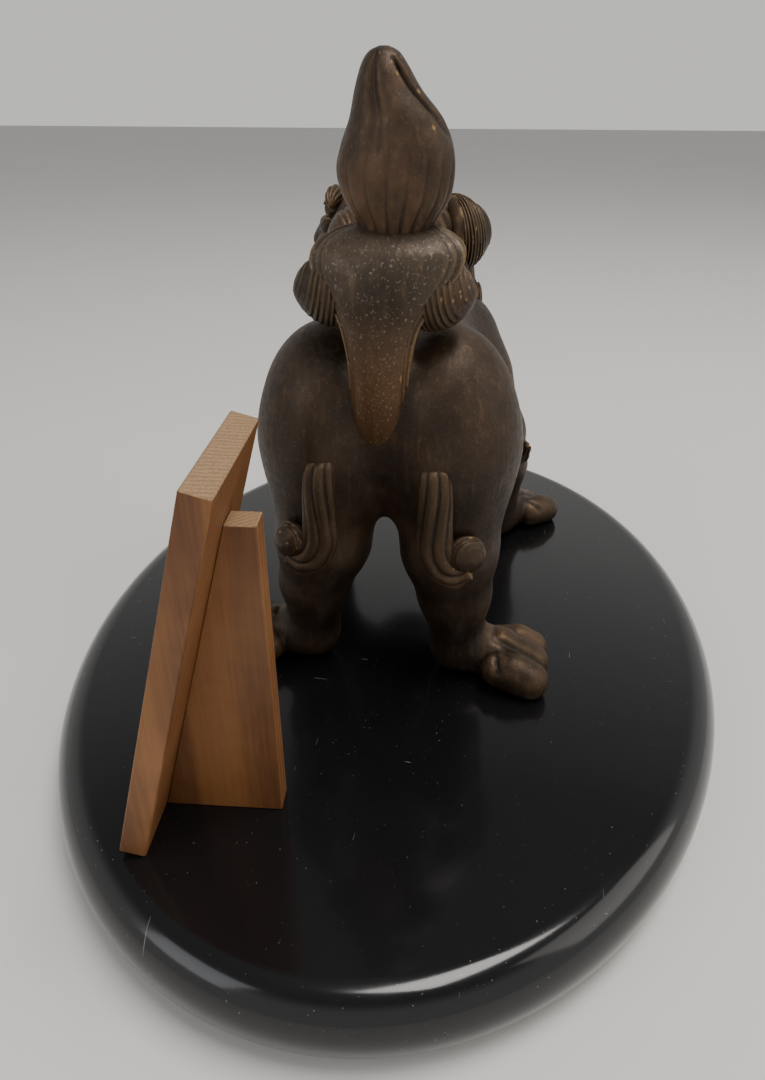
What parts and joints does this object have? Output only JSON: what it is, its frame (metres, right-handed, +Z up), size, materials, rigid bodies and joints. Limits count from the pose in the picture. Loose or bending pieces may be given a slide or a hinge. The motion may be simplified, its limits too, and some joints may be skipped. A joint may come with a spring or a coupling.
{
  "type": "foo dog statue",
  "caption": "Bronze lion dog with raised flame tail and a leaning wooden name plaque on an oval black lacquered board.",
  "frame": {"origin": "centre of the oval board, at the underside of its felt pads", "axes": "+Z up, X along the board's long axis with the lion dog facing -X, -Y the side the plaque's face is turned to"},
  "size_m": [0.386, 0.282, 0.2525],
  "materials": {
    "lacquer": "gloss",
    "felt": "matte",
    "wood": "satin",
    "bronze": "satin",
    "bronze_worn": "satin"
  },
  "bodies": {
    "base": {"board": "lacquer", "felt_pads": "felt"},
    "lion_dog": {"body_shell": "bronze", "core_plug": "bronze", "hind_leg_left": "bronze", "hind_leg_right": "bronze", "foreleg_left": "bronze", "foreleg_right": "bronze", "hock_tuft_left": "bronze_worn", "hock_tuft_right": "bronze_worn", "elbow_tuft_left": "bronze_worn", "elbow_tuft_right": "bronze_worn", "tail_band": "bronze", "tail_curl_left": "bronze_worn", "tail_curl_right": "bronze_worn", "tail_plume": "bronze", "mane": "bronze", "mane_curl_left": "bronze_worn", "mane_curl_right": "bronze_worn", "chest_ruff": "bronze", "head": "bronze", "lower_jaw": "bronze", "tongue": "bronze_worn", "fangs": "bronze_worn", "nose": "bronze", "eye_left": "bronze_worn", "eye_right": "bronze_worn", "brow_left": "bronze", "brow_right": "bronze", "ear_left": "bronze", "ear_right": "bronze", "cheek_curl_left": "bronze_worn", "cheek_curl_right": "bronze_worn", "beard": "bronze"},
    "plaque": {"plaque_board": "wood", "plaque_wedge": "wood"}
  },
  "joints": [
    {"name": "lift_lion_dog", "type": "slide", "parent": "base", "child": "lion_dog", "axis": [0, 0, 1], "range_m": [0, 0.08]},
    {"name": "lift_plaque", "type": "slide", "parent": "base", "child": "plaque", "axis": [0, 0, 1], "range_m": [0, 0.08]}
  ]
}
